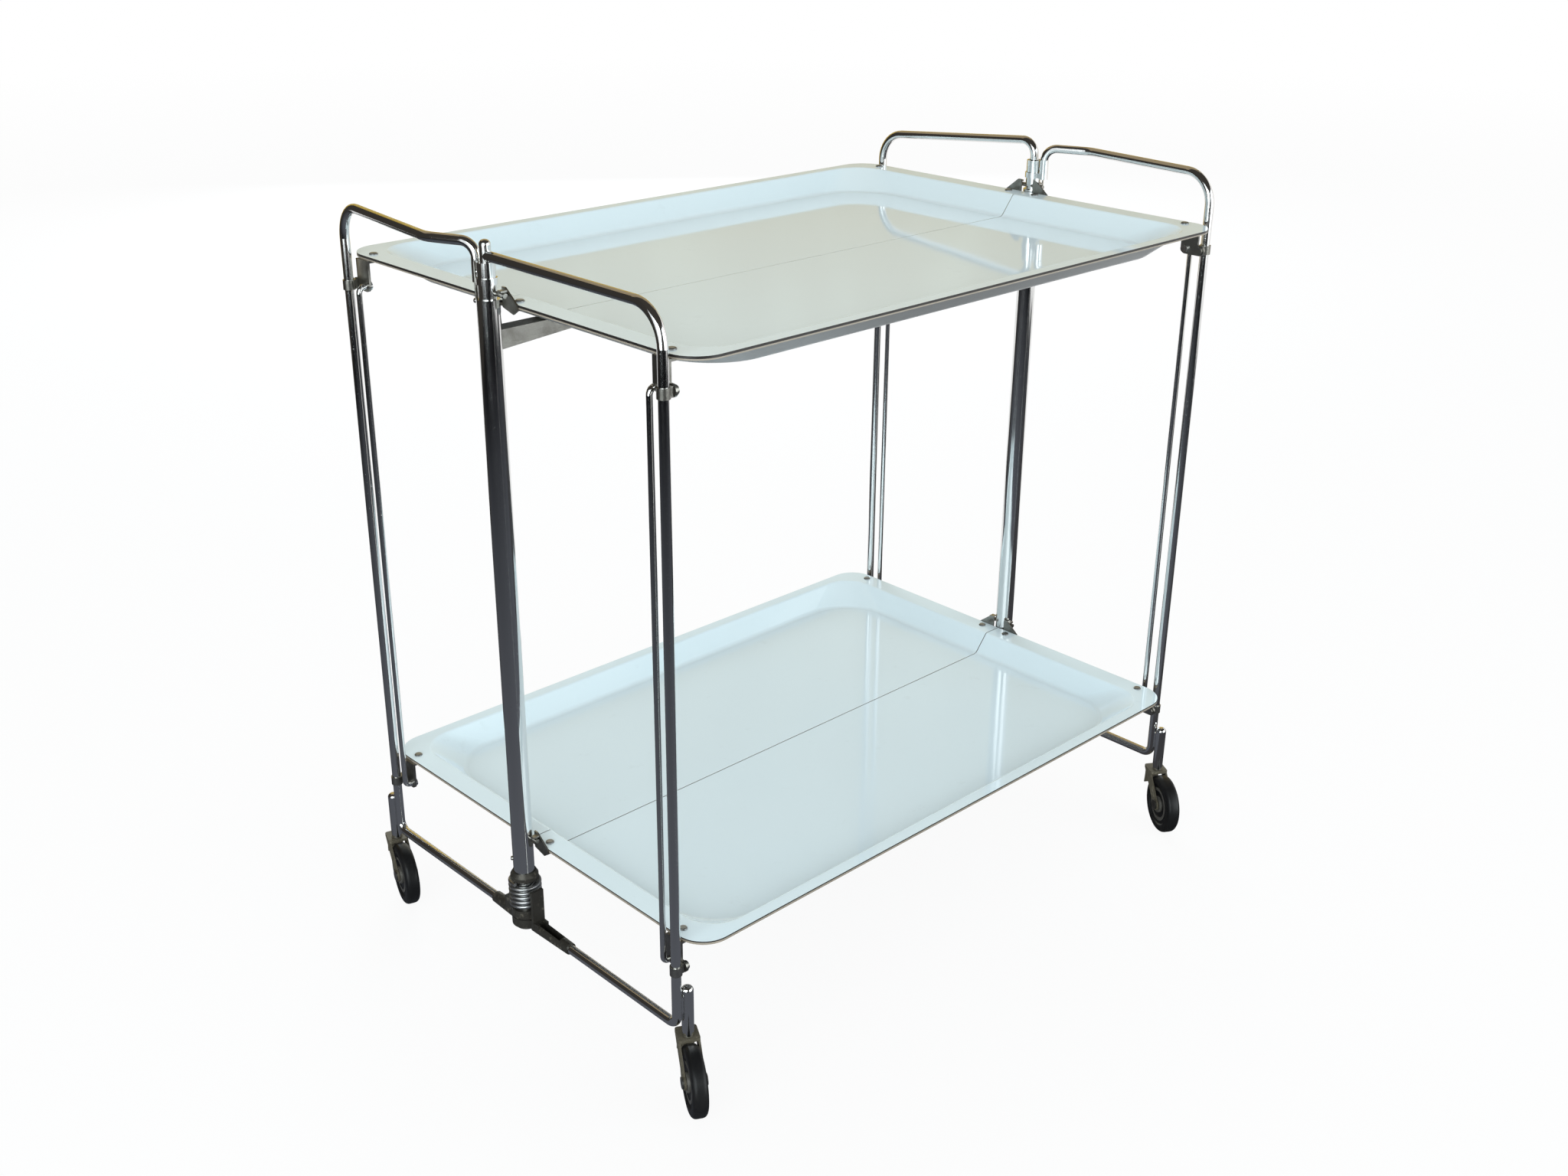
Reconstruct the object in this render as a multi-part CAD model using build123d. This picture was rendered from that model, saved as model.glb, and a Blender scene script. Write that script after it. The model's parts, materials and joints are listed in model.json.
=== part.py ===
from build123d import *
import math
import os

# Folding trolley with two split trays. Millimetres, X along the trays, Y across, Z up from the floor.
# The left end is at -X and the front at -Y. Turning half a turn about Z maps the trolley onto itself,
# apart from the casters and the right back grip, which turns down into its post in an elbow.

# Trays
tray_length = 619.0
tray_width = 438.0
tray_corner_r = 26.0
tray_sheet = 2.0
rim_sheet = 3.0
tray_depth = 19.0
wall_run = 15.5
wall_root_depth = 0.5
end_rim = 20.0
side_rim = 11.5
mouth_corner_r = 30.0
floor_corner_r = 55.0
floor_bend_r = 7.0
rim_bend_r = 3.0
rim_root_r = 1.0
seam_gap = 1.0
upper_top = 616.0
lower_top = 148.0

# Posts and rod frames
post_end_gap = 0.5
post_d = 18.0
post_wall = 1.5
neck_d = 14.0
neck_start_rise = 2.0
post_top_rise = 29.5
leg_inset = 19.0
rod_d = 8.0
pivot_grip_rise = 34.0
pivot_stub_rise = 12.0
stub_r = 4.4
stub_gap = 0.3
stub_tip_flat = 0.6
elbow_rise = 48.0
elbow_corner_rise = 30.0
elbow_r = 14.0
side_grip_rise = 42.0
rail_z = 71.0
grip_corner_r = 28.0
rail_corner_r = 9.0
side_bend_r = 12.0
kink_out = 17.0
kink_y = 52.0
kink_r = 25.0
run_fit = 0.05

# Hinges along the seam, under the tray floor
hinge_below_floor = 3.2
hinge_length = 64.0
hinge_arm_room = 6.0
leaf_width = 24.0
leaf_sheet = 1.2
knuckle_r = 2.7
knuckle_room = 0.6
knuckle_end_gap = 0.3
hinge_pin_r = 1.5

# Corner ears, clips and tie rods
ear_overhang = 2.5
ear_sheet = 2.0
ear_r = 4.8
ear_edge_inset = 2.0
tab_length = 17.0
clip_wall = 1.0
clip_half_height = 4.0
clip_lug_half = 2.4
ear_end_gap = 0.3
pivot_pin_r = 2.0
pin_head_r = 3.6
pin_head_length = 1.8
tie_d = 5.0
tie_offset = 15.0
tie_bend_r = 5.0

# Seam hooks and catch pins
hook_sheet = 1.5
hook_plate_length = 15.0
hook_end_gap = 0.3
hook_seam_gap = 1.5
hook_inner_y = 7.0
hook_outer_y = 25.0
hook_drop = 8.0
hook_drop_y = 20.0
leaf_tip_y = 11.0
leaf_rise = 11.0
hook_height = 9.5
tongue_reach = 5.6
tongue_y0 = 9.7
tongue_y1 = 14.0
catch_pin_r = 2.0
catch_pin_inset = 4.6
catch_pin_half = 16.0
catch_gap = 0.3
rivet_r = 2.0
rivet_head_r = 3.6
rivet_head_rise = 1.4
rivet_head_edge = 0.2
rivet_tail = 1.0
hook_rivet_y = 16.0
hook_rivet_inset = 7.5
ear_rivet_offset = 12.0
ear_rivet_inset = 8.5

# Support arm under the upper tray
arm_length = 82.0
arm_width = 14.0
arm_sheet = 1.5
arm_root_height = 15.5
arm_tip_height = 9.0
arm_gap = 0.3

# Foot of the post
hub_r = 12.8
hub_height = 8.0
hub_gap = 0.6
hub_split_rise = 6.3
web_width = 11.0
sleeve_r = 6.2
sleeve_tip_r = 5.2
sleeve_start = 14.0
pivot_arm_end = 62.0
side_arm_end = 45.0
rail_grip = 11.0
trough_start = 20.0
trough_half = 3.4
gusset_gap = 0.8
gusset_length = 10.0
lug_gap = 0.8
lug_sheet = 3.0
lug_half = 6.0
lug_height = 36.0
foot_cap_r = 10.5
foot_cap_height = 3.0
foot_cap_gap = 0.3
foot_plug_length = 14.0
spring_wire = 3.4
spring_pitch = 4.4
spring_turns = 5.5
spring_gap = 0.4
spring_room = 1.8
collar_height = 7.0
collar_r = 12.0
collar_land = 1.0

# Side frame's ring on the post
ring_wall = 1.0
ring_bottom_rise = 13.0
ring_height = 5.0
ring_rod_overhang = 0.5
bush_setback = 1.5
bush_length = 16.0

# Casters
socket_r = 5.0
socket_offset = 9.8
left_front_socket_deg = -10.0
socket_height = 47.0
socket_wall_top = 6.0
socket_tip_flat = 1.0
weld_width = 3.0
weld_margin = 8.0
weld_rail_room = 1.0
stem_r = 3.0
stem_end_room = 2.0
stem_head_r = 4.5
stem_head_length = 1.5
crown_gap = 0.5
crown_sheet = 2.5
crown_back = 12.0
crown_front = 7.0
crown_corner_r = 2.5
fork_half_width = 9.0
cheek_sheet = 1.8
cheek_end_r = 6.0
caster_trail = 22.0
wheel_r = 29.0
wheel_crown_gap = 1.0
wheel_half_width = 6.5
tread_edge_r = 3.5
wheel_hub_r = 8.0
wheel_hub_gap = 0.3
wheel_dish_r = 21.5
wheel_dish_depth = 1.5
axle_r = 3.0
axle_head_r = 5.0
axle_head_length = 1.5
left_front_trail_deg = -119.0
left_back_trail_deg = -107.0
right_front_trail_deg = -122.0

# Sizes that follow from the ones above
rod_r = rod_d / 2
tie_r = tie_d / 2
post_r = post_d / 2
tube_bore_r = post_r - post_wall
neck_r = neck_d / 2
neck_bore_r = neck_r - post_wall
tray_end = tray_length / 2
post_x = tray_end + post_end_gap + post_r
leg_y = tray_width / 2 - leg_inset
ear_rivet_y = leg_y - ear_rivet_offset
hinge_drop = tray_depth + tray_sheet + hinge_below_floor
ear_face = tray_end + ear_overhang
ear_back = ear_face - ear_sheet
pin_tip = ear_back - ear_end_gap - pin_head_length
arm_tip = post_x - post_r - arm_length
hinge_pitch = arm_tip - hinge_arm_room - hinge_length / 2
clip_r = rod_r + run_fit + clip_wall
bush_top = upper_top + post_top_rise - bush_setback
side_rod_y = neck_r + run_fit + ring_wall + rod_r
hub_split = rail_z + hub_split_rise
lower_hub_bottom = hub_split - hub_gap / 2 - hub_height
upper_hub_bottom = hub_split + hub_gap / 2
spring_r = post_r + spring_room + spring_wire / 2
spring_bottom = upper_hub_bottom + hub_height + spring_gap + spring_wire / 2
spring_top = spring_bottom + spring_pitch * spring_turns + spring_wire / 2
axle_drop = math.sqrt((wheel_r + wheel_crown_gap) ** 2 - (caster_trail - crown_front) ** 2)
crown_top = wheel_r + axle_drop + crown_sheet
socket_bottom = crown_top + crown_gap
socket_top = socket_bottom + socket_height
left_front_stem_x = -post_x + socket_offset * math.cos(math.radians(left_front_socket_deg))
left_front_stem_y = -leg_y + socket_offset * math.sin(math.radians(left_front_socket_deg))
outer_stem_y = leg_y + socket_offset
wheel_hub_half = fork_half_width - cheek_sheet - wheel_hub_gap


def block(x0, x1, y0, y1, z0, z1):
    centre = Pos((x0 + x1) / 2, (y0 + y1) / 2, (z0 + z1) / 2)
    return centre * Box(abs(x1 - x0), abs(y1 - y0), abs(z1 - z0))


def along_x(r, x0, x1, y, z):
    return Pos((x0 + x1) / 2, y, z) * Rot(0, 90, 0) * Cylinder(r, abs(x1 - x0))


def along_y(r, x, y0, y1, z):
    return Pos(x, (y0 + y1) / 2, z) * Rot(90, 0, 0) * Cylinder(r, abs(y1 - y0))


def along_z(r, x, y, z0, z1):
    return Pos(x, y, (z0 + z1) / 2) * Cylinder(r, abs(z1 - z0))


def round_rod(path, r):
    return sweep(Plane(path @ 0, z_dir=path % 0) * Circle(r), path=path)


def half_turn(shape):
    return Rot(0, 0, 180) * shape


def tray_ring(depth, shift, corner_r):
    inset = wall_run * depth / tray_depth - shift
    size_x = tray_length - 2 * (end_rim + inset)
    size_y = tray_width - 2 * (side_rim + inset)
    return Pos(0, 0, -depth) * RectangleRounded(size_x, size_y, corner_r)


# Edges of the pressed tray that lie level at a height, without those of the rim's outline.
def level_edges(shape, z):
    found = []
    for edge in shape.edges():
        low, high = edge.bounding_box().min, edge.bounding_box().max
        level = abs(low.Z - z) < 0.01 and abs(high.Z - z) < 0.01
        within_x = max(-low.X, high.X) < tray_end - 1
        within_y = max(-low.Y, high.Y) < tray_width / 2 - 1
        if level and within_x and within_y:
            found.append(edge)
    return found


# Whole pressed tray with its rim's top at z = 0, then cut at the seam.
def pressed_tray():
    wall_angle = math.atan2(tray_depth, wall_run)
    wall_shift = tray_sheet / math.sin(wall_angle)
    under = tray_depth + tray_sheet
    rim = extrude(RectangleRounded(tray_length, tray_width, tray_corner_r), amount=-rim_sheet)
    mouth = tray_ring(wall_root_depth, wall_shift, mouth_corner_r)
    outer = loft([mouth, tray_ring(under, wall_shift, floor_corner_r)])
    inner = loft([tray_ring(-1, 0, mouth_corner_r), tray_ring(tray_depth, 0, floor_corner_r)])
    tray = rim + outer - inner
    tray = fillet(level_edges(tray, -tray_depth), floor_bend_r)
    tray = fillet(level_edges(tray, -under), floor_bend_r + tray_sheet)
    tray = fillet(level_edges(tray, 0), rim_bend_r)
    return fillet(level_edges(tray, -rim_sheet), rim_root_r)


def rivet_spots():
    hook_x = tray_end - hook_rivet_inset
    ear_x = tray_end - ear_rivet_inset
    return [(side * x, -y) for side in (-1, 1) for x, y in ((hook_x, hook_rivet_y), (ear_x, ear_rivet_y))]


def front_tray_half(tray):
    half = tray & block(-tray_end, tray_end, -tray_width / 2, -seam_gap / 2, -2 * tray_depth, 1)
    for x, y in rivet_spots():
        half -= along_z(rivet_r, x, y, -rim_sheet, 0)
    return half


def front_rivets():
    rivets = []
    for x, y in rivet_spots():
        shank = along_z(rivet_r, x, y, -rim_sheet - ear_sheet - rivet_tail, 0)
        head = Pos(x, y, 0) * extrude(Circle(rivet_head_r), amount=rivet_head_rise)
        head = fillet(head.edges().sort_by(Axis.Z)[-1], rivet_head_rise - rivet_head_edge)
        rivets.append(shank + head)
    return rivets


# Corner ear: hangs from the rim at a left corner and carries the pivot pin and the tie rod's end.
def left_front_ear():
    tie_y = -leg_y + tie_offset
    drop = -hinge_drop
    edge_y = -leg_y + ear_edge_inset
    plate = along_x(ear_r, -ear_face, -ear_back, -leg_y, drop)
    plate += along_x(ear_r, -ear_face, -ear_back, tie_y, drop)
    plate += block(-ear_face, -ear_back, -leg_y, tie_y, drop - ear_r, drop + ear_r)
    plate += block(-ear_face, -ear_back, edge_y, tie_y + ear_r, drop, -rim_sheet)
    tab_end = -ear_face + tab_length
    plate += block(-ear_face, tab_end, edge_y, tie_y + ear_r, -rim_sheet - ear_sheet, -rim_sheet)
    plate -= along_x(pivot_pin_r + run_fit, -ear_face, -ear_back, -leg_y, drop)
    plate -= along_x(tie_r + run_fit, -ear_face, -ear_back, tie_y, drop)
    return plate - along_z(rivet_r, -tray_end + ear_rivet_inset, -ear_rivet_y, -tray_depth, 0)


# Seam hook: plate under the rim with a leaf turned up beside the post, and a tongue over the catch pin.
def left_front_hook():
    outer = -tray_end - hook_end_gap - hook_sheet
    under = -rim_sheet - hook_sheet
    plate_end = -tray_end + hook_plate_length
    hook = block(outer, plate_end, -hook_outer_y, -hook_inner_y, under, -rim_sheet)
    hook += block(-tray_end, plate_end, -hook_inner_y, -hook_seam_gap, under, -rim_sheet)
    side = Polyline(
        (-hook_outer_y, 0),
        (-leaf_tip_y, leaf_rise),
        (-hook_inner_y, leaf_rise),
        (-hook_inner_y, under),
        (-hook_drop_y, -hook_drop),
        (-hook_outer_y, under),
        close=True,
    )
    end_plane = Plane(origin=(outer, 0, 0), x_dir=(0, 1, 0), z_dir=(1, 0, 0))
    upright = extrude(end_plane * make_face(side), hook_sheet)
    tongue = block(outer - tongue_reach, outer, -tongue_y1, -tongue_y0, hook_height - hook_sheet, hook_height)
    hook = hook + upright + tongue
    return hook - along_z(rivet_r, -tray_end + hook_rivet_inset, -hook_rivet_y, -tray_depth, 0)


# One hinge under the seam: front leaf with the outer knuckles and the pin, back leaf with the inner one.
def hinge_leaf(side, spans, bore_r):
    top = -tray_depth - tray_sheet
    edge = knuckle_r + knuckle_room
    leaf = block(-hinge_length / 2, hinge_length / 2, side * leaf_width, side * edge, top - leaf_sheet, top)
    for x0, x1 in spans:
        leaf += block(x0, x1, side * edge, side * seam_gap, top - leaf_sheet, top)
        leaf += along_x(knuckle_r, x0, x1, 0, -hinge_drop)
    return leaf - along_x(bore_r, -hinge_length, hinge_length, 0, -hinge_drop)


def front_hinges():
    third = hinge_length / 6
    half = hinge_length / 2
    leaf = hinge_leaf(-1, [(-half, -third), (third, half)], hinge_pin_r)
    pin = along_x(hinge_pin_r, -half, half, 0, -hinge_drop)
    return [Pos(x, 0, 0) * piece for x in (-hinge_pitch, 0, hinge_pitch) for piece in (leaf, pin)]


def back_hinges():
    third = hinge_length / 6 - knuckle_end_gap
    leaf = hinge_leaf(1, [(-third, third)], hinge_pin_r + 2 * run_fit)
    return [Pos(x, 0, 0) * leaf for x in (-hinge_pitch, 0, hinge_pitch)]


def front_brackets():
    left = [left_front_ear(), left_front_hook()]
    return left + [mirror(piece, about=Plane.YZ) for piece in left]


# Clip strapped round a leg, with a pin pointing along the tray.
def left_front_clip():
    z0, z1 = -hinge_drop - clip_half_height, -hinge_drop + clip_half_height
    clip = along_z(clip_r, -post_x, -leg_y, z0, z1)
    lug_end = -ear_face - ear_end_gap
    clip += block(-post_x + rod_r, lug_end, -leg_y - clip_lug_half, -leg_y + clip_lug_half, z0, z1)
    clip -= along_z(rod_r + run_fit, -post_x, -leg_y, z0, z1)
    clip += along_x(pivot_pin_r, lug_end, -pin_tip, -leg_y, -hinge_drop)
    return clip + along_x(pin_head_r, -pin_tip - pin_head_length, -pin_tip, -leg_y, -hinge_drop)


def left_front_tie():
    y = -leg_y + tie_offset
    top, bottom = upper_top - hinge_drop, lower_top - hinge_drop
    corners = [(-pin_tip, y, bottom), (-post_x, y, bottom), (-post_x, y, top), (-pin_tip, y, top)]
    rod = round_rod(FilletPolyline(*corners, radius=tie_bend_r), tie_r)
    for z in (bottom, top):
        rod += along_x(pin_head_r, -pin_tip - pin_head_length, -pin_tip, y, z)
    return rod


# Leg of a pivot frame, from its top corner down and along to the foot arm.
def pivot_leg(corner_rise):
    return [
        (-post_x, -leg_y, upper_top + corner_rise),
        (-post_x, -leg_y, rail_z),
        (-post_x, -pivot_arm_end + rail_grip, rail_z),
    ]


# Pivot frame with a level grip that meets a round stub over the post.
def stub_frame_rod():
    grip = upper_top + pivot_grip_rise
    corners = [(-post_x, 0, grip)] + pivot_leg(pivot_grip_rise)
    stub_bottom = upper_top + post_top_rise + stub_gap
    stub = along_z(stub_r, -post_x, 0, stub_bottom, grip + pivot_stub_rise)
    stub = fillet(stub.edges().sort_by(Axis.Z)[-1], stub_r - stub_tip_flat)
    stub += along_z(rod_r, -post_x, 0, bush_top - bush_length, stub_bottom)
    return round_rod(FilletPolyline(*corners, radius=[grip_corner_r, rail_corner_r]), rod_r) + stub


# Pivot frame with a grip that climbs to the post and turns down into it.
def elbow_frame_rod():
    corners = [
        (-post_x, 0, bush_top - bush_length),
        (-post_x, 0, upper_top + elbow_rise),
    ] + pivot_leg(elbow_corner_rise)
    bends = [elbow_r, grip_corner_r, rail_corner_r]
    return round_rod(FilletPolyline(*corners, radius=bends), rod_r)


def side_frame_rod():
    grip = upper_top + side_grip_rise
    corners = [
        (-post_x, side_rod_y, upper_top + ring_bottom_rise - ring_rod_overhang),
        (-post_x, side_rod_y, grip),
        (-post_x - kink_out, kink_y, grip),
        (-post_x, leg_y, grip),
        (-post_x, leg_y, rail_z),
        (-post_x, side_arm_end - rail_grip, rail_z),
    ]
    bends = [side_bend_r, kink_r, grip_corner_r, rail_corner_r]
    return round_rod(FilletPolyline(*corners, radius=bends), rod_r)


# Ring that carries the side frame's grip on the post.
def side_frame_ring():
    z0 = upper_top + ring_bottom_rise
    z1 = z0 + ring_height
    ring = along_z(neck_r + run_fit + ring_wall, -post_x, 0, z0, z1)
    ring += block(-post_x - rod_r, -post_x + rod_r, 0, side_rod_y, z0, z1)
    ring -= along_z(neck_r + run_fit, -post_x, 0, z0, z1)
    return ring - along_z(rod_r, -post_x, side_rod_y, z0, z1)


# Arm that turns on the post's foot and grips the rail: side -1 has the lower hub, side 1 the upper one.
def foot_arm(side, end):
    hub_edge = hub_split + side * hub_gap / 2
    hub = along_z(hub_r, -post_x, 0, hub_edge, hub_edge + side * hub_height)
    sleeve = Cone(sleeve_r, sleeve_tip_r, end - sleeve_start)
    middle = side * (sleeve_start + end) / 2
    hub += Pos(-post_x, middle, rail_z) * Rot(-side * 90, 0, 0) * sleeve
    half = web_width / 2
    web_end = side * (sleeve_start + gusset_length)
    hub += block(-post_x - half, -post_x + half, 0, web_end, hub_edge, hub_edge + side * hub_height)
    return hub - along_z(post_r + run_fit, -post_x, 0, rail_z - hub_height, spring_bottom)


# Front arm: an open trough, with a lug that stands beside the spring.
def pivot_foot_arm():
    rod_end = -pivot_arm_end + rail_grip
    lug_y = -spring_r - spring_wire / 2 - lug_gap
    arm = foot_arm(-1, pivot_arm_end)
    lug_top = rail_z + lug_height
    arm += block(-post_x - lug_half, -post_x + lug_half, lug_y - lug_sheet, lug_y, rail_z, lug_top)
    slot_x0, slot_x1 = -post_x - trough_half, -post_x + trough_half
    arm -= block(slot_x0, slot_x1, rod_end, -trough_start, rail_z - trough_half, lug_top)
    return arm - along_y(rod_r, -post_x, rod_end, -pivot_arm_end - 1, rail_z)


# Back arm: its upper hub is joined to the sleeve by a gusset that passes outside the lower hub.
def side_foot_arm():
    arm = foot_arm(1, side_arm_end)
    half = web_width / 2
    y0 = hub_r + gusset_gap
    y1 = sleeve_start + gusset_length
    arm += block(-post_x - half, -post_x + half, y0, y1, rail_z, upper_hub_bottom + hub_height)
    arm -= along_z(y0, -post_x, 0, rail_z - hub_height, upper_hub_bottom)
    return arm - along_y(rod_r, -post_x, side_arm_end - rail_grip, side_arm_end + 1, rail_z)


# Post tube with a thinner neck above the upper tray.
def post_tube():
    top = upper_top + post_top_rise
    shoulder = upper_top + neck_start_rise
    bottom = lower_hub_bottom - foot_cap_gap
    tube = along_z(post_r, -post_x, 0, bottom, shoulder) + along_z(neck_r, -post_x, 0, shoulder, top)
    tube -= along_z(tube_bore_r, -post_x, 0, bottom, shoulder - post_wall)
    tube -= along_z(neck_bore_r, -post_x, 0, shoulder - post_wall, top)
    pin_x = -post_x + catch_pin_inset
    for tray_top in (upper_top, lower_top):
        tube -= along_y(catch_pin_r, pin_x, -post_d, post_d, tray_top + catch_pin_z())
    return tube


def catch_pin_z():
    return hook_height - hook_sheet - catch_gap - catch_pin_r


def catch_pins():
    pins = []
    for tray_top in (upper_top, lower_top):
        z = tray_top + catch_pin_z()
        pins.append(along_y(catch_pin_r, -post_x + catch_pin_inset, -catch_pin_half, catch_pin_half, z))
    return pins


def post_fittings():
    bush = along_z(neck_bore_r, -post_x, 0, bush_top - bush_length, bush_top)
    bush -= along_z(rod_r + run_fit, -post_x, 0, bush_top - bush_length, bush_top)
    tube_bottom = lower_hub_bottom - foot_cap_gap
    cap = along_z(foot_cap_r, -post_x, 0, tube_bottom - foot_cap_height, tube_bottom)
    cap = fillet(cap.edges().sort_by(Axis.Z)[0], foot_cap_height / 2)
    return [bush, cap + along_z(tube_bore_r, -post_x, 0, tube_bottom, tube_bottom + foot_plug_length)]


def support_arm():
    top = upper_top - tray_depth - tray_sheet - arm_gap
    side = Polyline(
        (-post_x, top),
        (-arm_tip, top),
        (-arm_tip, top - arm_tip_height),
        (-post_x, top - arm_root_height),
        close=True,
    )
    solid = extrude(Plane.XZ * make_face(side), arm_width / 2, both=True)
    half = arm_width / 2 - arm_sheet
    channel = block(-post_x, -arm_tip - arm_sheet, -half, half, top - 2 * arm_root_height, top - arm_sheet)
    return solid - channel - along_z(post_r, -post_x, 0, top - 2 * arm_root_height, top)


def spring_collar():
    z0 = spring_top + spring_gap
    collar = along_z(collar_r, -post_x, 0, z0, z0 + collar_height)
    collar = chamfer(collar.edges().sort_by(Axis.Z)[-1], collar_height / 2, collar_r - post_r - collar_land)
    return collar - along_z(post_r, -post_x, 0, z0, z0 + collar_height)


# Two tangent arcs that join two points of the coil with its own directions at both.
def arc_pair(p0, t0, p1, t1):
    v = p1 - p0
    t = t0 + t1
    bend = 2 * (1 - t0.dot(t1))
    reach = (math.sqrt(v.dot(t) ** 2 + bend * v.dot(v)) - v.dot(t)) / bend
    q0 = p0 + t0 * reach
    q1 = p1 - t1 * reach
    middle = (q0 + q1) * 0.5
    return [TangentArc(p0, middle, tangent=t0), TangentArc(middle, p1, tangent=(q1 - q0).normalized())]


def coil_point(turn):
    angle = 2 * math.pi * turn
    return Vector(spring_r * math.cos(angle), spring_r * math.sin(angle), spring_pitch * turn)


def coil_heading(turn):
    angle = 2 * math.pi * turn
    rise = spring_pitch / (2 * math.pi)
    return Vector(-spring_r * math.sin(angle), spring_r * math.cos(angle), rise).normalized()


def spring_path():
    steps = round(spring_turns * 4)
    turns = [i / 4 for i in range(steps + 1)]
    lead = coil_heading(0) * spring_wire
    edges = [Line(coil_point(0) - lead, coil_point(0))]
    for a, b in zip(turns, turns[1:]):
        edges += arc_pair(coil_point(a), coil_heading(a), coil_point(b), coil_heading(b))
    tail = coil_heading(turns[-1]) * spring_wire
    edges.append(Line(coil_point(turns[-1]), coil_point(turns[-1]) + tail))
    return Wire(edges)


def spring_self_gap(path):
    count = 400
    points = [path @ (i / count) for i in range(count + 1)]
    apart = round(0.6 * count / spring_turns)
    nearest = min((a - b).length for i, a in enumerate(points) for b in points[i + apart:])
    return nearest - spring_wire


def foot_spring():
    path = spring_path()
    print("spring self gap", round(spring_self_gap(path), 2))
    return Pos(-post_x, 0, spring_bottom) * round_rod(path, spring_wire / 2)


# Socket with its axis at the origin, closed by a round top and welded to a leg at -X.
def caster_socket():
    tube = along_z(socket_r, 0, 0, socket_bottom, socket_top)
    tube = fillet(tube.edges().sort_by(Axis.Z)[-1], socket_r - socket_tip_flat)
    half = weld_width / 2
    weld_bottom = rail_z + rail_corner_r + weld_rail_room
    tube += block(-socket_offset, 0, -half, half, weld_bottom, socket_top - weld_margin)
    tube -= along_z(rod_r, -socket_offset, 0, 0, upper_top)
    return tube - along_z(stem_r + run_fit, 0, 0, socket_bottom, socket_top - socket_wall_top)


# Caster pieces stand with the stem at the origin and trail towards +X.
def caster_fork():
    crown_bottom = crown_top - crown_sheet
    fork = block(-crown_back, crown_front, -fork_half_width, fork_half_width, crown_bottom, crown_top)
    fork = fillet(fork.edges().filter_by(Axis.Z), crown_corner_r)
    outline = Polyline(
        (-crown_back + crown_corner_r, crown_bottom),
        (crown_front - crown_corner_r, crown_bottom),
        (caster_trail + cheek_end_r, wheel_r),
        (caster_trail, wheel_r - cheek_end_r),
        (caster_trail - cheek_end_r, wheel_r),
        close=True,
    )
    cheek = extrude(Plane.XZ * make_face(outline), cheek_sheet)
    cheek += along_y(cheek_end_r, caster_trail, 0, -cheek_sheet, wheel_r)
    for y in (fork_half_width, -fork_half_width + cheek_sheet):
        fork += Pos(0, y, 0) * cheek
    fork -= along_y(axle_r, caster_trail, -fork_half_width - 1, fork_half_width + 1, wheel_r)
    return fork - along_z(stem_r, 0, 0, crown_bottom, crown_top)


def caster_pins():
    crown_bottom = crown_top - crown_sheet
    stem = along_z(stem_r, 0, 0, crown_bottom, socket_top - socket_wall_top - stem_end_room)
    stem += along_z(stem_head_r, 0, 0, crown_bottom - stem_head_length, crown_bottom)
    axle = along_y(axle_r, caster_trail, -fork_half_width, fork_half_width, wheel_r)
    for side in (-1, 1):
        end = side * fork_half_width
        axle += along_y(axle_head_r, caster_trail, end, end + side * axle_head_length, wheel_r)
    return [stem, axle]


def caster_wheel():
    wheel = Cylinder(wheel_r, 2 * wheel_half_width)
    wheel = fillet(wheel.edges().filter_by(GeomType.CIRCLE), tread_edge_r)
    for side in (-1, 1):
        face = side * wheel_half_width
        wheel -= along_z(wheel_dish_r, 0, 0, face - side * wheel_dish_depth, face)
    wheel += Cylinder(wheel_hub_r, 2 * wheel_hub_half)
    wheel -= Cylinder(axle_r + run_fit, 4 * wheel_hub_half)
    return Pos(caster_trail, 0, wheel_r) * Rot(90, 0, 0) * wheel


def save(name, pieces):
    shape = pieces if not isinstance(pieces, list) else Compound(children=pieces)
    export_step(shape, "parts/" + name + ".step")


def at_height(pieces, z):
    return [Pos(0, 0, z) * piece for piece in pieces]


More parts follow.
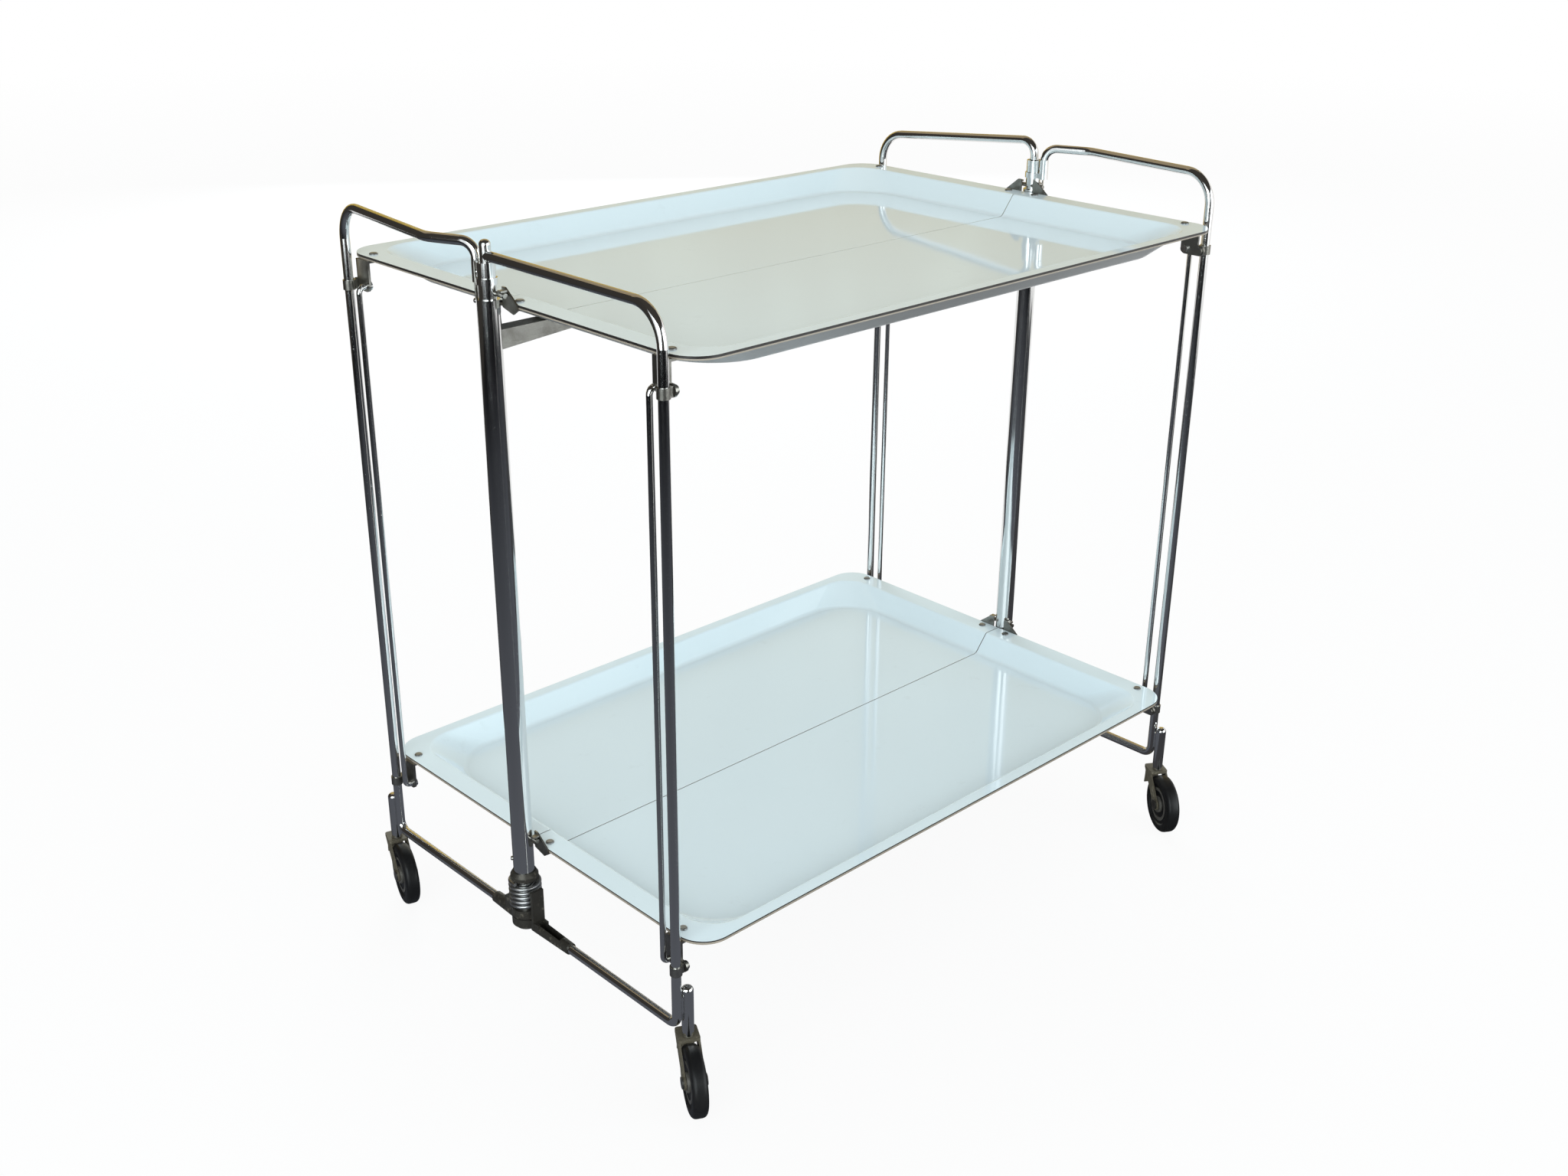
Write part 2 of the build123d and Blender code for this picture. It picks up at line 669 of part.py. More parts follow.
def main():
    os.makedirs("parts", exist_ok=True)
    half = front_tray_half(pressed_tray())
    brackets, rivets = front_brackets(), front_rivets()
    for level, top in (("upper", upper_top), ("lower", lower_top)):
        raised = Pos(0, 0, top) * half
        save(level + "_front_pan", raised)
        save(level + "_back_pan", half_turn(raised))
        fittings = at_height(brackets, top)
        save(level + "_front_fittings", fittings + at_height(front_hinges(), top))
        turned = [half_turn(piece) for piece in fittings]
        save(level + "_back_fittings", turned + at_height(back_hinges(), top))
        save(level + "_front_rivets", at_height(rivets, top))
        save(level + "_back_rivets", [half_turn(piece) for piece in at_height(rivets, top)])

    post_pieces = {
        "post_tube": post_tube(),
        "post_fittings": post_fittings(),
        "catch_pins": catch_pins(),
        "support_arm": support_arm(),
        "spring_collar": spring_collar(),
        "foot_spring": foot_spring(),
    }
    for name, pieces in post_pieces.items():
        save("left_" + name, pieces)
        turned = [half_turn(p) for p in pieces] if isinstance(pieces, list) else half_turn(pieces)
        save("right_" + name, turned)

    clip = left_front_clip()
    clips = [Pos(0, 0, top) * clip for top in (upper_top, lower_top)]
    tie = left_front_tie()
    mirrored = {
        "clips": [mirror(piece, about=Plane.XZ) for piece in clips],
        "tie_rod": mirror(tie, about=Plane.XZ),
        "frame_rod": side_frame_rod(),
        "frame_ring": side_frame_ring(),
        "foot_arm": side_foot_arm(),
    }
    direct = {
        "clips": clips,
        "tie_rod": tie,
        "foot_arm": pivot_foot_arm(),
    }
    for first, second, pieces in (
        ("left_front_", "right_back_", direct),
        ("left_back_", "right_front_", mirrored),
    ):
        for name, shape in pieces.items():
            save(first + name, shape)
            turned = [half_turn(p) for p in shape] if isinstance(shape, list) else half_turn(shape)
            save(second + name, turned)
    save("left_front_frame_rod", stub_frame_rod())
    save("right_back_frame_rod", half_turn(elbow_frame_rod()))

    socket, fork, pins, wheel = caster_socket(), caster_fork(), caster_pins(), caster_wheel()
    for corner, x, y, side, trail in (
        ("left_front_", left_front_stem_x, left_front_stem_y, left_front_socket_deg, left_front_trail_deg),
        ("left_back_", -post_x, outer_stem_y, 90, left_back_trail_deg),
        ("right_front_", post_x, -outer_stem_y, -90, right_front_trail_deg),
        ("right_back_", post_x, outer_stem_y, 90, -right_front_trail_deg),
    ):
        save(corner + "caster_socket", Pos(x, y, 0) * Rot(0, 0, side) * socket)
        place = Pos(x, y, 0) * Rot(0, 0, trail)
        save(corner + "caster_fork", place * fork)
        save(corner + "caster_pins", [place * pin for pin in pins])
        save(corner + "caster_wheel", place * wheel)


main()
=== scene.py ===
import json
import math
import bpy
from mathutils import Euler, Matrix, Vector


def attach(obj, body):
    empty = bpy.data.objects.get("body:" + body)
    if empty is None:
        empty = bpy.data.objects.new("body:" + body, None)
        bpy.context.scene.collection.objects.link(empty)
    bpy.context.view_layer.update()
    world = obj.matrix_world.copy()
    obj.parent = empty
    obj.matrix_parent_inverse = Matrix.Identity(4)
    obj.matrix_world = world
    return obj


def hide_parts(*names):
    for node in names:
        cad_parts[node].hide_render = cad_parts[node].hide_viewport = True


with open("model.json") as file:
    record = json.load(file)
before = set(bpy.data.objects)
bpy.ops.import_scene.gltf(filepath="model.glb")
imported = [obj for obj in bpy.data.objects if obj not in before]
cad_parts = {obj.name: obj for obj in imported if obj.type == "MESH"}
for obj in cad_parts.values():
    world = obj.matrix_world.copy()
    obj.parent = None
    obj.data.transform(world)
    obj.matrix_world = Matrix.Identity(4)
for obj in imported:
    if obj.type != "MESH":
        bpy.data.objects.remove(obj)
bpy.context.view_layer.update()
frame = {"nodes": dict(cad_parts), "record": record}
nodes = frame["nodes"]
print("frame loaded:", len(nodes), "nodes")


# A shader value: sums and products of it add Math nodes, and node() adds any other kind
class Sock:
    def __init__(self, tree, out=None):
        self.tree = tree
        self.out = out

    def node(self, kind, settings=None, inputs=None, out=0):
        made = self.tree.nodes.new(kind)
        for name, value in (settings or {}).items():
            setattr(made, name, value)
        for name, value in (inputs or {}).items():
            if isinstance(value, Sock):
                self.tree.links.new(value.out, made.inputs[name])
            else:
                made.inputs[name].default_value = value
        return Sock(self.tree, made.outputs[out])

    def calc(self, operation, first, second=0.0):
        return self.node("ShaderNodeMath", {"operation": operation}, {0: first, 1: second})

    def __add__(self, other):
        return self.calc("ADD", self, other)

    def __radd__(self, other):
        return self.calc("ADD", other, self)

    def __sub__(self, other):
        return self.calc("SUBTRACT", self, other)

    def __rsub__(self, other):
        return self.calc("SUBTRACT", other, self)

    def __mul__(self, other):
        return self.calc("MULTIPLY", self, other)

    def __rmul__(self, other):
        return self.calc("MULTIPLY", other, self)

    def __gt__(self, other):
        return self.calc("GREATER_THAN", self, other)

    def __lt__(self, other):
        return self.calc("LESS_THAN", self, other)

    def __abs__(self):
        return self.calc("ABSOLUTE", self)

    def clipped(self):
        return self.node("ShaderNodeClamp", None, {"Value": self})

    def along(self, axis):
        return self.node("ShaderNodeSeparateXYZ", None, {0: self}, axis)

    def length(self):
        return self.node("ShaderNodeVectorMath", {"operation": "LENGTH"}, {0: self}, "Value")

    def noise(self, where, scale, detail=4.0, rough=0.55):
        return self.node("ShaderNodeTexNoise", None,
                         {"Vector": where, "Scale": scale, "Detail": detail, "Roughness": rough}, "Fac")

    # Noise above a level, rising to 1 as steeply as asked
    def patches(self, where, scale, detail, rough, level, steep):
        return ((self.noise(where, scale, detail, rough) - level) * steep).clipped()

    def mixed(self, factor, first, second):
        return self.node("ShaderNodeMix", {"data_type": "RGBA"}, {0: factor, 6: first, 7: second}, 2)

    def bump(self, height, distance, strength):
        return self.node("ShaderNodeBump", None,
                         {"Height": height, "Distance": distance, "Strength": strength}, "Normal")


def newFinish(name):
    made = bpy.data.materials.new(name)
    made.use_nodes = True
    shader = made.node_tree.nodes["Principled BSDF"]
    return made, Sock(made.node_tree), shader


def feed(shader, **sockets):
    for name, value in sockets.items():
        place = shader.inputs[name.replace("_", " ")]
        if isinstance(value, Sock):
            value.tree.links.new(value.out, place)
        else:
            place.default_value = value


def places(start):
    return start.node("ShaderNodeTexCoord", None, None, "Object")


# In every finish, noise is scale, detail and roughness, and patches add their level and steepness
laminate = {
    "white": (0.775, 0.885, 0.92, 1), "cool": (0.745, 0.872, 0.92, 1), "cloud": (5.0, 3.0),
    "scuff": (0.66, 0.76, 0.79, 1), "scuffs": (38.0, 6.0, 0.7, 0.62, 9.0), "scuffShare": 0.35,
    "under": (0.2, 0.2, 0.2, 1), "core": (0.02, 0.017, 0.016, 1), "backing": (0.3, 0.26, 0.21, 1),
    "upperCore": 0.6141, "lowerCore": 0.1469,  # the dark core lies above these heights
    "seamEdge": (0.34, 0.35, 0.34, 1), "upperSeam": (0.6, 0.63, 0.6, 1), "seamHalf": 0.002,
    "between": 0.3, "level": 0.3,  # height between the trays; flatter than this is no cut edge
    "rough": 0.06, "scuffRough": 0.12, "underRough": 0.25, "cutRough": 0.3,
    "wave": (9.0, 2.0), "waveBump": (0.0006, 0.25), "ior": 1.55,
}


def laminateFinish():
    made, start, shader = newFinish("glossLaminate")
    where = places(start)
    up = start.node("ShaderNodeTexCoord", None, None, "Normal").along("Z")
    cut = abs(up) < laminate["level"]
    below = up < -laminate["level"]
    cloud = start.noise(where, *laminate["cloud"])
    scuffs = start.patches(where, *laminate["scuffs"])
    white = start.mixed(cloud, laminate["white"], laminate["cool"])
    worn = start.mixed(scuffs * laminate["scuffShare"], white, laminate["scuff"])
    # faces that point down are coloured dark grey
    greyBelow = start.mixed(below, worn, laminate["under"])
    height, across = where.along("Z"), where.along("Y")
    upper, lower = height > laminate["between"], height < laminate["between"]
    dark = (height > laminate["upperCore"]) + (height > laminate["lowerCore"]) * lower
    outer = start.mixed(dark, laminate["backing"], laminate["core"])
    seam = start.mixed(upper, laminate["seamEdge"], laminate["upperSeam"])
    edge = start.mixed(abs(across) < laminate["seamHalf"], outer, seam)
    rough = (laminate["rough"] + scuffs * laminate["scuffRough"] + below * laminate["underRough"]
             + cut * laminate["cutRough"])
    wave = start.noise(where, *laminate["wave"])
    feed(shader, Base_Color=start.mixed(cut, greyBelow, edge), Roughness=rough,
         Normal=start.bump(wave, *laminate["waveBump"]), IOR=laminate["ior"])
    return made


chromePlate = {"bright": (0.78, 0.78, 0.77, 1), "dull": (0.5, 0.47, 0.42, 1), "haze": (22.0, 5.0),
               "pits": (420.0, 3.0, 0.7, 0.66, 10.0), "pitted": (13.0, 4.0, 0.55, 0.52, 4.0), "pitShare": 0.25,
               "rough": 0.07, "hazeRough": 0.05, "pitRough": 0.3, "pitBump": (-0.0001, 0.5)}


# Small pits, most of them in pitted areas
def chromeFinish():
    made, start, shader = newFinish("chromePlate")
    where = places(start)
    haze = start.noise(where, *chromePlate["haze"])
    pitted = start.patches(where, *chromePlate["pitted"])
    share = chromePlate["pitShare"] + pitted * (1 - chromePlate["pitShare"])
    pits = (start.patches(where, *chromePlate["pits"]) * share).clipped()
    feed(shader, Base_Color=start.mixed(pits, chromePlate["bright"], chromePlate["dull"]), Metallic=1.0,
         Roughness=chromePlate["rough"] + haze * chromePlate["hazeRough"] + pits * chromePlate["pitRough"],
         Normal=start.bump(pits, *chromePlate["pitBump"]))
    return made


# The other finishes have two colours, mixed by worn patches or else by the cloud, and gloss that follows the cloud
zincPlate = {"name": "zincPlate", "base": (0.36, 0.35, 0.32, 1), "worn": (0.17, 0.16, 0.14, 1), "metal": 1.0,
             "cloud": (60.0, 5.0), "patches": (60.0, 5.0, 0.55, 0.4, 3.0), "rough": 0.24, "cloudRough": 0.2,
             "grain": (700.0, 2.0), "bump": (0.0002, 0.4)}
rivetSteel = {"name": "rivetSteel", "base": (0.16, 0.165, 0.17, 1), "worn": (0.3, 0.3, 0.29, 1), "metal": 0.9,
              "cloud": (300.0, 3.0), "rough": 0.3, "cloudRough": 0.2}
springSteel = {"name": "springSteel", "base": (0.66, 0.68, 0.7, 1), "worn": (0.36, 0.35, 0.33, 1), "metal": 1.0,
               "cloud": (90.0, 4.0), "rough": 0.22, "cloudRough": 0.2}
forkLacquer = {"name": "forkLacquer", "base": (0.115, 0.1, 0.07, 1), "worn": (0.3, 0.27, 0.2, 1), "metal": 0.3,
               "cloud": (70.0, 5.0), "patches": (160.0, 5.0, 0.7, 0.58, 7.0), "rough": 0.52, "cloudRough": 0.2,
               "bump": (0.0003, 0.3)}
tyreBlack = {"name": "tyreBlack", "base": (0.006, 0.006, 0.0065, 1), "worn": (0.03, 0.027, 0.024, 1), "metal": 0.0,
             "cloud": (80.0, 4.0), "patches": (35.0, 5.0, 0.55, 0.5, 3.0), "patchShare": 0.4,
             "rough": 0.3, "cloudRough": 0.25, "bump": (0.0002, 0.4), "specular": 0.3}
hubGrey = {"name": "hubGrey", "base": (0.1, 0.095, 0.085, 1), "worn": (0.19, 0.18, 0.16, 1), "metal": 0.6,
           "cloud": (150.0, 4.0), "rough": 0.35, "cloudRough": 0.2}
footCasting = {"name": "footCasting", "base": (0.07, 0.065, 0.055, 1), "worn": (0.3, 0.27, 0.21, 1), "metal": 0.7,
               "cloud": (85.0, 5.0), "patches": (140.0, 6.0, 0.7, 0.57, 6.0), "rough": 0.3, "cloudRough": 0.2,
               "bump": (0.0003, 0.35)}


def wornFinish(look):
    made, start, shader = newFinish(look["name"])
    where = places(start)
    cloud = start.noise(where, *look["cloud"])
    share = start.patches(where, *look["patches"]) if "patches" in look else cloud
    if "patchShare" in look:
        share = share * look["patchShare"]
    feed(shader, Base_Color=start.mixed(share, look["base"], look["worn"]), Metallic=look["metal"],
         Roughness=look["rough"] + cloud * look["cloudRough"])
    if "bump" in look:
        grain = start.noise(where, *look["grain"]) if "grain" in look else cloud
        feed(shader, Normal=start.bump(grain, *look["bump"]))
    if "specular" in look:
        feed(shader, Specular_IOR_Level=look["specular"])
    return made


finishes = {"tray": laminateFinish(), "chrome": chromeFinish(), "zinc": wornFinish(zincPlate),
            "rivet": wornFinish(rivetSteel), "spring": wornFinish(springSteel), "fork": wornFinish(forkLacquer),
            "wheel": wornFinish(tyreBlack)}
hub = wornFinish(hubGrey)
casting = wornFinish(footCasting)
castPieces = ("_foot_arm", "_spring_collar")
slotOf = {part["node"]: part["material_slot"] for part in frame["record"]["subparts"]}
for name, piece in nodes.items():
    piece.data.materials.clear()
    piece.data.materials.append(casting if name.endswith(castPieces) else finishes[slotOf[name]])
print("finishes set:", len(finishes) + 2)


def clearSelection():
    bpy.ops.object.select_all(action="DESELECT")


def pickFaces(piece, wanted):
    bpy.ops.object.mode_set(mode="EDIT")
    bpy.ops.mesh.select_mode(type="FACE")
    bpy.ops.mesh.select_all(action="DESELECT")
    bpy.ops.object.mode_set(mode="OBJECT")
    for face in piece.data.polygons:
        face.select = wanted(face)
    bpy.ops.object.mode_set(mode="EDIT")


def isCap(face):
    return abs(face.normal.z) > 0.9


def isUnderside(face):
    return face.normal.z < -0.9


def isAny(face):
    return True


# Rounds edges sharper than an angle in degrees
def roundEdges(piece, width, segments, sharp):
    edges = piece.modifiers.new("edges", "BEVEL")
    edges.width = width
    edges.segments = segments
    edges.limit_method = "ANGLE"
    edges.angle_limit = math.radians(sharp)
    bpy.ops.object.modifier_apply(modifier=edges.name)


def smooth(angle):
    bpy.ops.object.shade_smooth_by_angle(angle=math.radians(angle))


# Disc whose two flat sides are inset in steps of thickness and depth
def discBlank(name, radius, width, sides, steps):
    clearSelection()
    bpy.ops.mesh.primitive_cylinder_add(vertices=sides, radius=radius, depth=width)
    disc = bpy.context.object
    disc.name = name
    pickFaces(disc, isCap)
    for thickness, depth in steps:
        bpy.ops.mesh.inset(thickness=thickness, depth=depth, use_individual=True)
    bpy.ops.object.mode_set(mode="OBJECT")
    return disc


# Flat plate whose lower end is drawn out by lip and narrowed
def plateBlank(name, size, lip, narrow, edge):
    clearSelection()
    bpy.ops.mesh.primitive_cube_add(size=1)
    plate = bpy.context.object
    plate.name = name
    pickFaces(plate, isAny)
    bpy.ops.transform.resize(value=size)
    pickFaces(plate, isUnderside)
    bpy.ops.mesh.extrude_region_move(TRANSFORM_OT_translate={"value": lip})
    bpy.ops.transform.resize(value=(1, narrow, 1))
    bpy.ops.object.mode_set(mode="OBJECT")
    roundEdges(plate, *edge)
    smooth(35)
    return plate


def copied(blank, name, matrix, finish):
    piece = blank.copy()
    piece.data = blank.data.copy()
    piece.name = name
    bpy.context.collection.objects.link(piece)
    piece.data.transform(matrix)
    if finish:
        piece.data.materials.append(finish)
    return piece


def turned(degrees, axis):
    return Matrix.Rotation(math.radians(degrees), 4, axis)


wheel = {
    "radius": 0.029, "width": 0.013, "sides": 96, "trail": 0.022,
    "wall": 0.0075, "dish": 0.0016, "dishSlope": 0.0012,
    "ribGap": 0.0024, "rib": 0.0028, "ribRise": 0.0008, "ribSlope": 0.0008, "ribInner": 0.0141, "ribOuter": 0.0173,
    "shoulder": (0.004, 5, 60), "edge": (0.0003, 2, 25),  # width, segments and angle of a rounded edge
    "hubRadius": 0.0085, "hubWidth": 0.0138, "hubSides": 48, "hubRim": 0.0022, "hubSink": 0.0006, "hubSlope": 0.0004,
    "hubEdge": (0.0005, 3, 40),
    "webSize": (0.0015, 0.0146, 0.009), "webLip": (-0.001, 0, -0.0095), "webPlace": (-0.0105, 0, 0.0505),
    "webEdge": (0.0003, 2, 30),
    # place of each stem and heading of its wheel
    "corners": {"left_front": (-0.309349, -0.201702, -119), "left_back": (-0.319, 0.2098, -107),
                "right_front": (0.319, -0.2098, -122), "right_back": (0.319, 0.2098, 122)},
}


# Solid tyre: tread with rounded shoulders, raised wall ring, dished side with a rib
def tyreBlank():
    steps = ((wheel["wall"], 0), (wheel["dishSlope"], -wheel["dish"]), (wheel["ribGap"], 0),
             (wheel["ribSlope"], wheel["ribRise"]), (wheel["rib"], 0), (wheel["ribSlope"], -wheel["ribRise"]))
    tyre = discBlank("tyre", wheel["radius"], wheel["width"], wheel["sides"], steps)
    roundEdges(tyre, *wheel["shoulder"])
    roundEdges(tyre, *wheel["edge"])
    smooth(30)
    tyre.data.materials.append(finishes["wheel"])
    tyre.data.materials.append(hub)
    for face in tyre.data.polygons:
        reach = Vector(face.center[:2]).length
        if isCap(face) and wheel["ribInner"] < reach < wheel["ribOuter"]:
            face.material_index = 1  # painted highlight: the rib takes the lighter hub finish to stand in for the ring of light on it
    return tyre


def hubBlank():
    steps = ((wheel["hubRim"], 0), (wheel["hubSlope"], -wheel["hubSink"]))
    core = discBlank("hub", wheel["hubRadius"], wheel["hubWidth"], wheel["hubSides"], steps)
    roundEdges(core, *wheel["hubEdge"])
    smooth(35)
    return core


# Each fork also gets a plate between its cheeks, behind the wheel
def makeWheels():
    tyre, core = tyreBlank(), hubBlank()
    web = plateBlank("web", wheel["webSize"], wheel["webLip"], 1, wheel["webEdge"])
    for corner, (stemX, stemY, heading) in wheel["corners"].items():
        stem = Matrix.Translation((stemX, stemY, 0)) @ turned(heading, "Z")
        axle = stem @ Matrix.Translation((wheel["trail"], 0, wheel["radius"])) @ turned(90, "X")
        rubber = copied(tyre, corner + "_tyre", axle, None)
        middle = copied(core, corner + "_hub", axle, hub)
        plate = copied(web, corner + "_fork_web", stem @ Matrix.Translation(wheel["webPlace"]), finishes["fork"])
        for piece in (rubber, middle):
            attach(piece, corner + "_wheel")
        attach(plate, corner + "_caster")
        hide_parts(corner + "_caster_wheel")
    for blank in (tyre, core, web):
        bpy.data.objects.remove(blank)
    print("wheels made:", len(wheel["corners"]))


makeWheels()

# Small fixings at each post; a place is the angle about the post, the distance from its axis and the height
fixing = {
    "postX": -0.319, "headRadius": 0.0019, "headLength": 0.003, "headSides": 32, "headDome": (0.000665, 0.000225),
    "headEdge": (0.0006, 3, 30), "strapSize": (0.001, 0.003, 0.028), "strapEnd": (0, 0, -0.0045),
    "strapNarrow": 0.6, "strapEdge": (0.0003, 2, 30),
    "strapPlace": (116, 0.00955, 0.631), "screwPlace": (116, 0.0101, 0.6155),
    "postRivet": (136, 0.009, 0.132), "gripRivet": (106, 0.0092, 0.637),
    "ends": {"left": (0, "left_back_frame"), "right": (180, "right_front_frame")},
}


def headBlank():
    head = discBlank("head", fixing["headRadius"], fixing["headLength"], fixing["headSides"], (fixing["headDome"],))
    roundEdges(head, *fixing["headEdge"])
    smooth(35)
    return head


def atPost(angle, reach, height):
    return Matrix.Translation((fixing["postX"], 0, 0)) @ turned(angle, "Z") @ Matrix.Translation((reach, 0, height))


# A strap with its screw holds the grip's end, and rivets sit in the grip and low on the post
def makeFixings():
    head = headBlank()
    strap = plateBlank("strap", fixing["strapSize"], fixing["strapEnd"], fixing["strapNarrow"], fixing["strapEdge"])
    outward = turned(90, "Y")
    for end, (turn, gripFrame) in fixing["ends"].items():
        around = turned(turn, "Z")
        post = end + "_post"
        rows = ((strap, "_grip_strap", around @ atPost(*fixing["strapPlace"]), "zinc", post),
                (head, "_strap_screw", around @ atPost(*fixing["screwPlace"]) @ outward, "chrome", post),
                (head, "_grip_rivet", around @ atPost(*fixing["gripRivet"]) @ outward, "chrome", gripFrame),
                (head, "_post_rivet", around @ atPost(*fixing["postRivet"]) @ outward, "zinc", post))
        for blank, label, matrix, slot, body in rows:
            piece = copied(blank, end + label, matrix, finishes[slot])
            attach(piece, body)
    for blank in (head, strap):
        bpy.data.objects.remove(blank)
    print("fixings made:", len(rows) * len(fixing["ends"]))


makeFixings()

# A lamp is its place, width, power and colour
studio = {
    "floorSize": 60.0, "floorColour": (0.82, 0.82, 0.82, 1), "floorRough": 0.9, "floorWhite": 0.92,
    "fadeStart": 1.5, "fadeRun": 5.0, "world": (0.97, 0.985, 1, 1), "worldSeen": (1, 1, 1, 1), "worldStrength": 0.44,
    "aim": (0, 0, 0.35),
    "lamps": {"window": ((-2.6, -1.3, 1.05), 2.6, 83, (0.88, 0.97, 1)),
              "front": ((0.9, -2.9, 1.0), 2.4, 51, (0.88, 0.97, 1)),
              "rear": ((2.0, 2.7, 1.15), 2.0, 88, (0.86, 0.96, 1)),
              "top": ((0.5, 0.5, 3.0), 2.6, 10, (1, 0.93, 0.78))},
}


def seenRays(start):
    return (start.node("ShaderNodeLightPath", None, None, "Is Camera Ray")
            + start.node("ShaderNodeLightPath", None, None, "Is Glossy Ray")
            + start.node("ShaderNodeLightPath", None, None, "Is Transmission Ray")).clipped()


# Camera, glossy and transmitted rays see the floor nearly white, with the shadow left in
def makeFloor():
    clearSelection()
    bpy.ops.mesh.primitive_plane_add(size=studio["floorSize"], location=(0, 0, 0))
    floor = bpy.context.object
    floor.name = "studioFloor"
    made, start, shader = newFinish("paleFloor")
    feed(shader, Base_Color=studio["floorColour"], Roughness=studio["floorRough"], Specular_IOR_Level=0)
    tree = made.node_tree
    glow = tree.nodes.new("ShaderNodeEmission")
    both = tree.nodes.new("ShaderNodeMixShader")
    far = ((places(start).length() - studio["fadeStart"]) * (1 / studio["fadeRun"])).clipped()
    share = seenRays(start) * (studio["floorWhite"] + far * (1 - studio["floorWhite"]))
    tree.links.new(share.out, both.inputs[0])
    tree.links.new(shader.outputs[0], both.inputs[1])
    tree.links.new(glow.outputs[0], both.inputs[2])
    tree.links.new(both.outputs[0], tree.nodes["Material Output"].inputs["Surface"])
    floor.data.materials.append(made)


# Cards that only shiny surfaces see: dark floor, walls and ceiling, a pale window, a tan wall and ceiling behind
cards = {
    "frontFlag": {"colour": (0.005, 0.005, 0.006, 1), "near": (0.1, 0.107, 0.125, 1),
                  "place": (-1.569, -0.228, 0.001), "turn": (0, 0, -43.8), "size": (2.45, 3.5)},
    "rightFront": {"colour": (0.005, 0.005, 0.006, 1), "near": (0.1, 0.107, 0.125, 1),
                   "place": (-0.277, -1.916, 0.001), "turn": (0, 0, -43.8), "size": (1.75, 2.85)},
    "rightFlag": {"colour": (0.05, 0.05, 0.055, 1), "place": (1.04, -0.685, 0.001), "turn": (0, 0, -43.8),
                  "size": (1.95, 0.85)},
    "leftFlag": {"colour": (0.035, 0.034, 0.033, 1), "place": (-0.669, 1.196, 0.001), "turn": (0, 0, -43.8),
                 "size": (1.78, 1.0)},
    "leftWall": {"colour": (0.04, 0.036, 0.032, 1), "place": (-1.378, 1.598, 1.225), "turn": (90, 0, -133.8),
                 "size": (4.0, 2.45)},
    "frontWall": {"colour": (0.05, 0.048, 0.045, 1), "place": (-2.25, -2.15, 1.225), "turn": (90, 0, -43.8),
                  "size": (4.4, 2.45)},
    "ceiling": {"colour": (0.045, 0.04, 0.035, 1), "place": (-0.48, -0.51, 2.45), "turn": (0, 0, -43.8),
                "size": (6.8, 7.0)},
    "leftWindow": {"colour": (0.93, 0.97, 1, 1), "place": (-2.5, -0.12, 1.25), "turn": (90, 0, 90),
                   "size": (0.9, 1.7)},
    "tanCeiling": {"colour": (0.34, 0.27, 0.17, 1), "place": (0.3, 1.95, 2.4), "turn": (0, 0, -31.8),
                   "size": (4.6, 2.3)},
    "tanWall": {"colour": (0.48, 0.33, 0.06, 1), "streak": (0.57, 0.45, 0.17, 1), "place": (1.3, 2.1, 1.3),
                "turn": (70, 0, -31.8), "size": (5.2, 2.6)},
}
cardLook = {"nearStart": 0.5, "nearRun": 1.6, "streakScale": (7, 7, 0.7), "streaks": (1.0, 3.0, 0.55, 0.4, 3.0)}


def cardFinish(name, card):
    made, start, shader = newFinish(name)
    glow = card["colour"]
    if "near" in card:  # paler by the trolley
        away = places(start).length()
        glow = start.mixed(((away - cardLook["nearStart"]) * (1 / cardLook["nearRun"])).clipped(), card["near"], glow)
    if "streak" in card:
        upright = start.node("ShaderNodeMapping", None, {"Vector": places(start), "Scale": cardLook["streakScale"]})
        glow = start.mixed(start.patches(upright, *cardLook["streaks"]), glow, card["streak"])
    feed(shader, Base_Color=(0, 0, 0, 1), Emission_Color=glow, Emission_Strength=1.0, Roughness=1.0,
         Specular_IOR_Level=0)
    return made


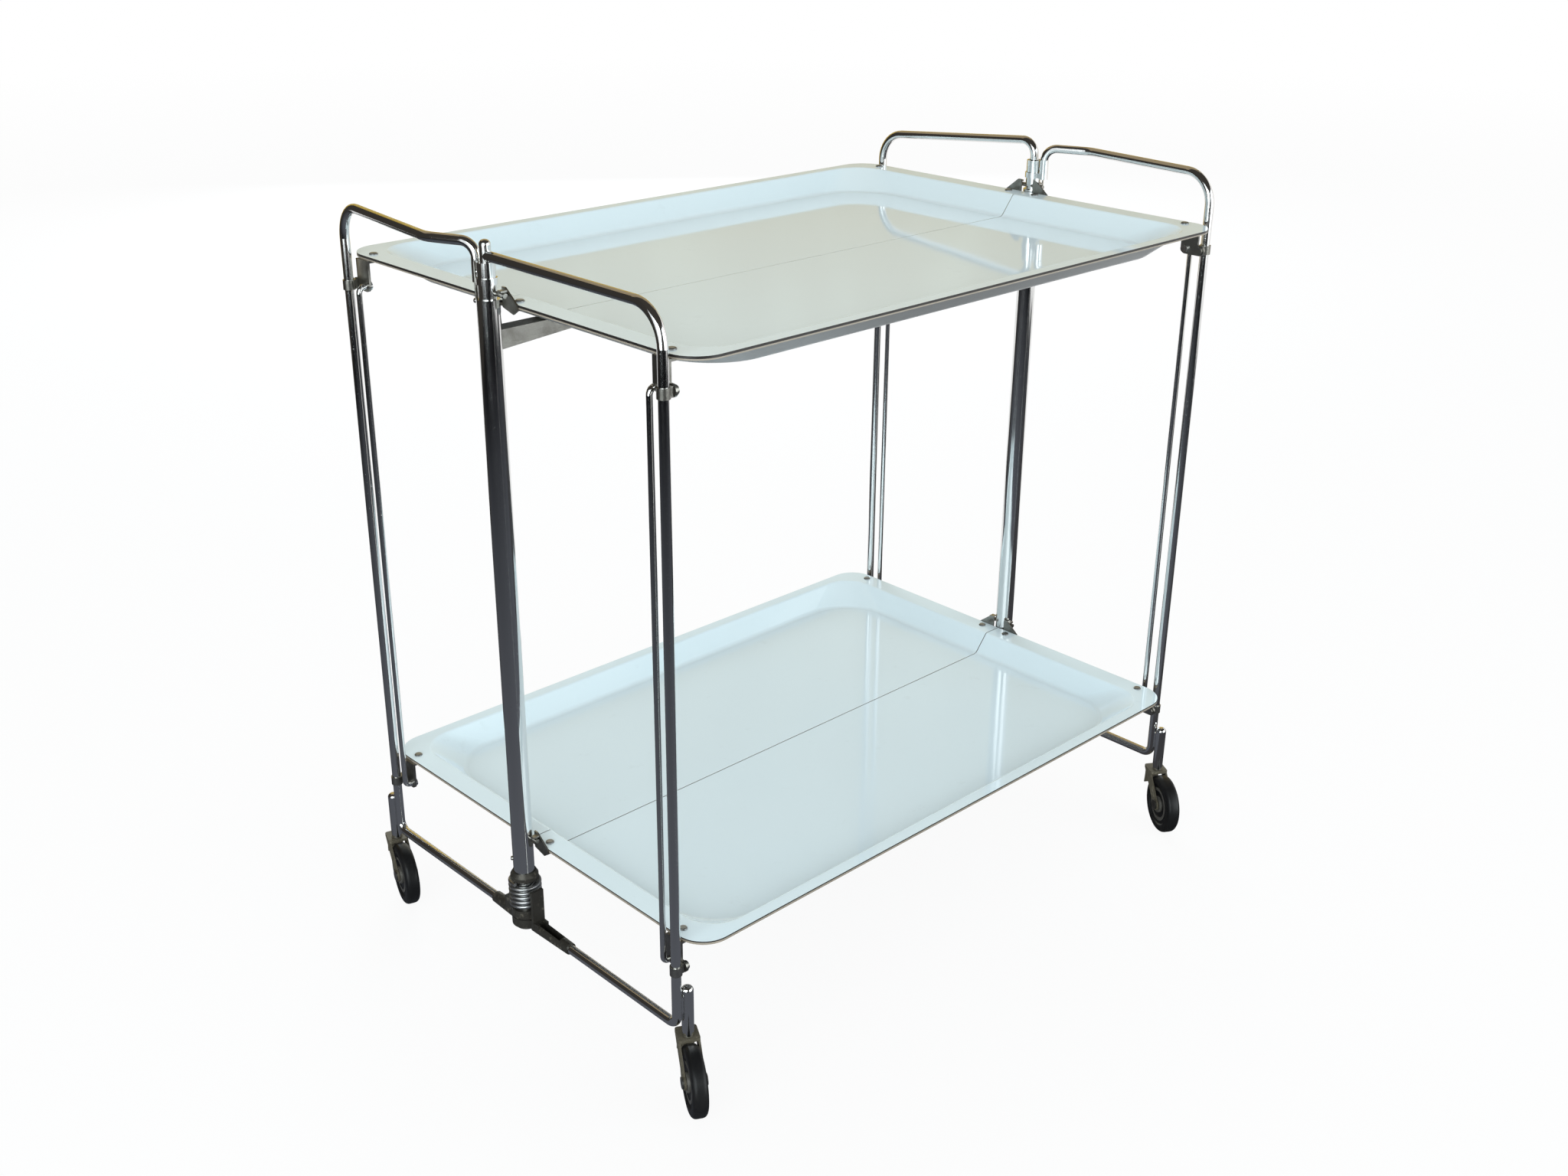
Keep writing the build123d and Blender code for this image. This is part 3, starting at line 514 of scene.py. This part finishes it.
def makeCards():
    for name, card in cards.items():
        clearSelection()
        bpy.ops.mesh.primitive_plane_add(size=1)
        piece = bpy.context.object
        piece.name = name
        turn = Euler([math.radians(angle) for angle in card["turn"]]).to_matrix().to_4x4()
        piece.data.transform(Matrix.Translation(card["place"]) @ turn @ Matrix.Diagonal((*card["size"], 1, 1)))
        piece.data.materials.append(cardFinish(name, card))
        piece.visible_camera = False
        piece.visible_diffuse = False
        piece.visible_shadow = False
    print("cards set:", len(cards))


def makeLight(name, place, size, power, tint):
    lamp = bpy.data.lights.new(name, "AREA")
    lamp.size = size
    lamp.energy = power
    lamp.color = tint
    holder = bpy.data.objects.new(name, lamp)
    holder.location = place
    holder.rotation_euler = (Vector(studio["aim"]) - Vector(place)).to_track_quat("-Z", "Y").to_euler()
    bpy.context.collection.objects.link(holder)


def makeWorld():
    world = bpy.data.worlds.new("studioWorld")
    world.use_nodes = True
    tree = world.node_tree
    start = Sock(tree)
    seen = seenRays(start)
    feed(tree.nodes["Background"], Color=start.mixed(seen, studio["world"], studio["worldSeen"]),
         Strength=studio["worldStrength"] + seen * (1 - studio["worldStrength"]))
    bpy.context.scene.world = world


view = {"place": (-1.02248, -1.04689, 0.93706), "right": (0.72217355, -0.69166832, 0.00776546),
        "down": (-0.27535873, -0.29776545, -0.91406417), "ahead": (0.63454151, 0.65797468, -0.40549524),
        "focalPixels": 2237.3, "framePixels": 2048, "sensor": 36.0, "farthest": 100}


def makeCamera():
    lens = bpy.data.cameras.new("photoCamera")
    lens.sensor_width = view["sensor"]
    lens.lens = view["sensor"] * view["focalPixels"] / view["framePixels"]
    lens.clip_end = view["farthest"]
    holder = bpy.data.objects.new("photoCamera", lens)
    axes = [Vector(view["right"]), -Vector(view["down"]), -Vector(view["ahead"])]
    turn = Matrix([list(axis) for axis in axes]).transposed().to_4x4()
    holder.matrix_world = Matrix.Translation(view["place"]) @ turn
    bpy.context.collection.objects.link(holder)
    bpy.context.scene.camera = holder


makeFloor()
for lampName, lampSettings in studio["lamps"].items():
    makeLight(lampName, *lampSettings)
makeCards()
makeWorld()
makeCamera()
bpy.context.scene.view_settings.view_transform = "Standard"
print("studio ready")
